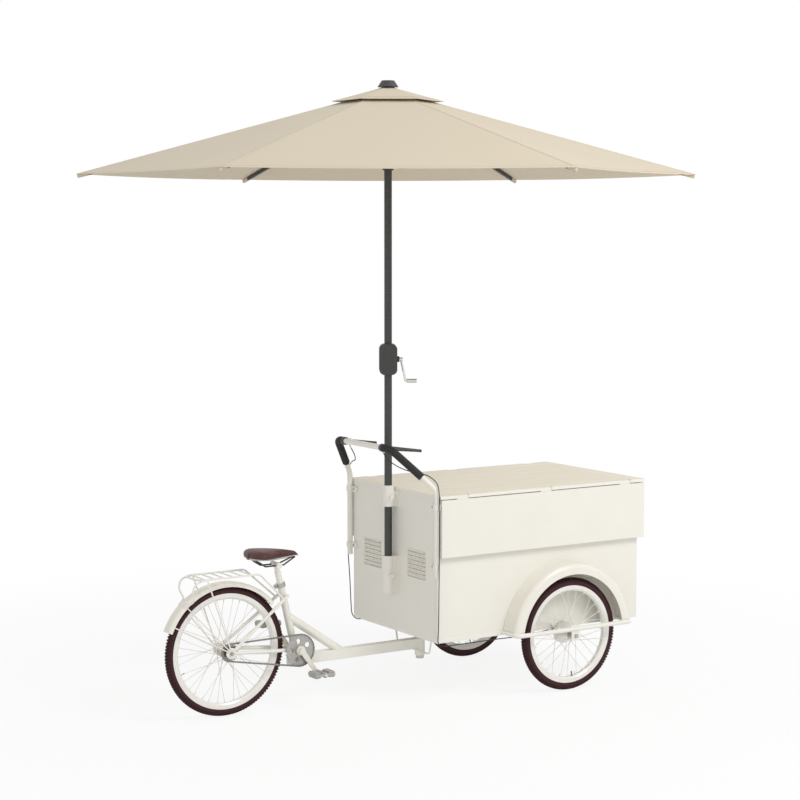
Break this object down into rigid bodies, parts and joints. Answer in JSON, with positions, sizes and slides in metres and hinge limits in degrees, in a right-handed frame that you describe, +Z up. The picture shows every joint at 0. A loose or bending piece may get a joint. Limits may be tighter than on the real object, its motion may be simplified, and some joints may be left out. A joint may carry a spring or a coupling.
{
  "type": "bicycle food cart",
  "caption": "Pedal-driven vending cart: a closed box with a worktop and drop flaps on two front wheels, a bicycle rear half, and a crank-opened parasol behind the box.",
  "frame": {"origin": "on the ground under the axis of the parasol pole", "axes": "+X forwards, towards the front of the box; +Y to the rider's left; +Z up"},
  "size_m": [2.347, 2.71, 2.7063],
  "materials": {
    "cream_paint": "semi-gloss cream powder coat",
    "cream_panel": "cream lacquered board",
    "cream_fender": "cream moulded shell",
    "board": "sealed pale board",
    "steel": "zinc-plated and machined steel",
    "white_rim": "white painted rim",
    "hub_alloy": "bright alloy and plated spokes",
    "tyre": "dark burgundy tyre rubber",
    "black_rubber": "black rubber",
    "black_plastic": "black plastic",
    "pedal": "grey plastic with a steel core",
    "leather": "brown leather over foam",
    "black_wire": "black enamelled wire",
    "dark_alloy": "dark grey powder coat",
    "cloth": "sand-coloured parasol cloth",
    "chrome": "polished chrome"
  },
  "bodies": {
    "cart": {"chassis_frame": "cream_paint", "kingpin": "steel", "box_floor": "cream_panel", "rear_panel": "cream_panel", "cabinet_shell": "cream_panel", "worktop": "board", "flap_hinges": "steel", "handlebar": "cream_paint", "grips": "black_rubber", "lever_clamps": "black_plastic", "brake_cables": "black_rubber", "wheel_carriers": "cream_paint", "front_axles": "steel", "front_fenders": "cream_fender", "umbrella_holder": "cream_paint"},
    "right_front_wheel": {"right_front_tyre": "tyre", "right_front_rim": "white_rim", "right_front_hub": "hub_alloy"},
    "left_front_wheel": {"left_front_tyre": "tyre", "left_front_rim": "white_rim", "left_front_hub": "hub_alloy"},
    "right_lever": {"right_brake_lever": "black_plastic"},
    "left_lever": {"left_brake_lever": "black_plastic"},
    "right_leaf": {"right_flap": "cream_panel"},
    "left_leaf": {"left_flap": "cream_panel"},
    "bicycle_frame": {"rear_frame": "cream_paint", "rear_stays": "cream_paint", "rear_axle": "steel", "rear_fender": "cream_paint", "rear_rack": "cream_paint", "chain": "steel", "frame_fittings": "steel"},
    "rear_wheel": {"rear_tyre": "tyre", "rear_rim": "white_rim", "rear_hub": "hub_alloy", "freewheel_cog": "steel"},
    "cranks": {"crankset": "steel"},
    "right_pedal_body": {"right_pedal": "pedal"},
    "left_pedal_body": {"left_pedal": "pedal"},
    "seat": {"seat_post": "cream_paint", "saddle": "leather", "saddle_rails": "black_wire"},
    "mast": {"umbrella_pole": "dark_alloy", "umbrella_crown": "dark_alloy", "canopy": "cloth", "winder_housing": "black_plastic"},
    "runner_body": {"runner": "dark_alloy"},
    "winder": {"winder_crank": "chrome"},
    "rib_body_1": {"rib_1": "dark_alloy"},
    "strut_body_1": {"strut_1": "dark_alloy"},
    "rib_body_2": {"rib_2": "dark_alloy"},
    "strut_body_2": {"strut_2": "dark_alloy"},
    "rib_body_3": {"rib_3": "dark_alloy"},
    "strut_body_3": {"strut_3": "dark_alloy"},
    "rib_body_4": {"rib_4": "dark_alloy"},
    "strut_body_4": {"strut_4": "dark_alloy"},
    "rib_body_5": {"rib_5": "dark_alloy"},
    "strut_body_5": {"strut_5": "dark_alloy"},
    "rib_body_6": {"rib_6": "dark_alloy"},
    "strut_body_6": {"strut_6": "dark_alloy"}
  },
  "joints": [
    {"name": "steering", "type": "hinge", "parent": "cart", "child": "bicycle_frame", "pos_m": [0.168, 0, 0.2], "axis": [0, 0, 1], "range_deg": [-45, 45]},
    {"name": "right_front_wheel_spin", "type": "hinge", "parent": "cart", "child": "right_front_wheel", "pos_m": [0.699, -0.403, 0.254], "axis": [0, 1, 0], "continuous": true},
    {"name": "left_front_wheel_spin", "type": "hinge", "parent": "cart", "child": "left_front_wheel", "pos_m": [0.699, 0.403, 0.254], "axis": [0, 1, 0], "continuous": true},
    {"name": "crank_spin", "type": "hinge", "parent": "bicycle_frame", "child": "cranks", "pos_m": [-0.47887, 0, 0.25], "axis": [0, 1, 0], "continuous": true, "deforming": ["chain"]},
    {"name": "rear_wheel_spin", "type": "hinge", "parent": "bicycle_frame", "child": "rear_wheel", "pos_m": [-0.819, 0, 0.279], "axis": [0, 1, 0], "continuous": true},
    {"name": "right_pedal_spin", "type": "hinge", "parent": "cranks", "child": "right_pedal_body", "pos_m": [-0.41004, -0.114, 0.1517], "axis": [0, 1, 0], "continuous": true},
    {"name": "left_pedal_spin", "type": "hinge", "parent": "cranks", "child": "left_pedal_body", "pos_m": [-0.5477, 0.114, 0.3483], "axis": [0, 1, 0], "continuous": true},
    {"name": "seat_height", "type": "slide", "parent": "bicycle_frame", "child": "seat", "axis": [-0.2334, 0, 0.9724], "range_m": [-0.03, 0.1]},
    {"name": "right_lever_squeeze", "type": "hinge", "parent": "cart", "child": "right_lever", "pos_m": [-0.098, -0.161, 1.116], "axis": [0.07, 0.8086, -0.5842], "range_deg": [0, 22], "stiffness_Nm_per_rad": 3, "springref_deg": -11.46},
    {"name": "left_lever_squeeze", "type": "hinge", "parent": "cart", "child": "left_lever", "pos_m": [-0.098, 0.161, 1.116], "axis": [-0.07, 0.8086, 0.5842], "range_deg": [0, 22], "stiffness_Nm_per_rad": 3, "springref_deg": -11.46},
    {"name": "right_flap_lift", "type": "hinge", "parent": "cart", "child": "right_leaf", "pos_m": [0.592, -0.3675, 0.9125], "axis": [-1, 0, 0], "range_deg": [0, 90]},
    {"name": "left_flap_lift", "type": "hinge", "parent": "cart", "child": "left_leaf", "pos_m": [0.592, 0.3675, 0.9125], "axis": [1, 0, 0], "range_deg": [0, 90]},
    {"name": "mast_lift_out", "type": "slide", "parent": "cart", "child": "mast", "axis": [0, 0, 1], "range_m": [0, 0.5]},
    {"name": "rib_1_fold", "type": "hinge", "parent": "mast", "child": "rib_body_1", "pos_m": [0.03031, -0.0175, 2.622], "axis": [0.5, 0.866, 0], "range_deg": [0, 67.91], "deforming": ["canopy"]},
    {"name": "rib_2_fold", "type": "hinge", "parent": "mast", "child": "rib_body_2", "pos_m": [0.03031, 0.0175, 2.622], "axis": [-0.5, 0.866, 0], "range_deg": [-0.5, 68.41]},
    {"name": "rib_3_fold", "type": "hinge", "parent": "mast", "child": "rib_body_3", "pos_m": [0, 0.035, 2.622], "axis": [-1, 0, 0], "range_deg": [-0.5, 68.41]},
    {"name": "rib_4_fold", "type": "hinge", "parent": "mast", "child": "rib_body_4", "pos_m": [-0.03031, 0.0175, 2.622], "axis": [-0.5, -0.866, 0], "range_deg": [-0.5, 68.41]},
    {"name": "rib_5_fold", "type": "hinge", "parent": "mast", "child": "rib_body_5", "pos_m": [-0.03031, -0.0175, 2.622], "axis": [0.5, -0.866, 0], "range_deg": [-0.5, 68.41]},
    {"name": "rib_6_fold", "type": "hinge", "parent": "mast", "child": "rib_body_6", "pos_m": [0, -0.035, 2.622], "axis": [1, 0, 0], "range_deg": [-0.5, 68.41]},
    {"name": "strut_1_swing", "type": "hinge", "parent": "rib_body_1", "child": "strut_body_1", "pos_m": [0.44693, -0.25803, 2.48478], "axis": [0.5, 0.866, 0], "range_deg": [-136.82, 1]},
    {"name": "strut_2_swing", "type": "hinge", "parent": "rib_body_2", "child": "strut_body_2", "pos_m": [0.44693, 0.25803, 2.48478], "axis": [-0.5, 0.866, 0], "range_deg": [-136.82, 1]},
    {"name": "strut_3_swing", "type": "hinge", "parent": "rib_body_3", "child": "strut_body_3", "pos_m": [0, 0.51607, 2.48478], "axis": [-1, 0, 0], "range_deg": [-136.82, 1]},
    {"name": "strut_4_swing", "type": "hinge", "parent": "rib_body_4", "child": "strut_body_4", "pos_m": [-0.44693, 0.25803, 2.48478], "axis": [-0.5, -0.866, 0], "range_deg": [-136.82, 1]},
    {"name": "strut_5_swing", "type": "hinge", "parent": "rib_body_5", "child": "strut_body_5", "pos_m": [-0.44693, -0.25803, 2.48478], "axis": [0.5, -0.866, 0], "range_deg": [-136.82, 1]},
    {"name": "strut_6_swing", "type": "hinge", "parent": "rib_body_6", "child": "strut_body_6", "pos_m": [0, -0.51607, 2.48478], "axis": [1, 0, 0], "range_deg": [-136.82, 1]},
    {"name": "runner_slide", "type": "slide", "parent": "mast", "child": "runner_body", "axis": [0, 0, 1], "range_m": [-0.7253, 0.005]},
    {"name": "winder_turn", "type": "hinge", "parent": "mast", "child": "winder", "pos_m": [0.05196, -0.03, 1.49], "axis": [0.866, -0.5, 0], "range_deg": [-10, 2170]}
  ],
  "couplings": [
    {"joint": "rear_wheel_spin", "follows": "crank_spin", "ratio": 1.8889},
    {"joint": "rib_2_fold", "follows": "rib_1_fold", "ratio": 1},
    {"joint": "rib_3_fold", "follows": "rib_1_fold", "ratio": 1},
    {"joint": "rib_4_fold", "follows": "rib_1_fold", "ratio": 1},
    {"joint": "rib_5_fold", "follows": "rib_1_fold", "ratio": 1},
    {"joint": "rib_6_fold", "follows": "rib_1_fold", "ratio": 1},
    {"joint": "strut_1_swing", "follows": "rib_1_fold", "ratio": -2},
    {"joint": "strut_2_swing", "follows": "rib_1_fold", "ratio": -2},
    {"joint": "strut_3_swing", "follows": "rib_1_fold", "ratio": -2},
    {"joint": "strut_4_swing", "follows": "rib_1_fold", "ratio": -2},
    {"joint": "strut_5_swing", "follows": "rib_1_fold", "ratio": -2},
    {"joint": "strut_6_swing", "follows": "rib_1_fold", "ratio": -2},
    {"joint": "runner_slide", "follows": "rib_1_fold", "m_per_rad": -0.60768},
    {"joint": "winder_turn", "follows": "rib_1_fold", "ratio": 31.806}
  ]
}
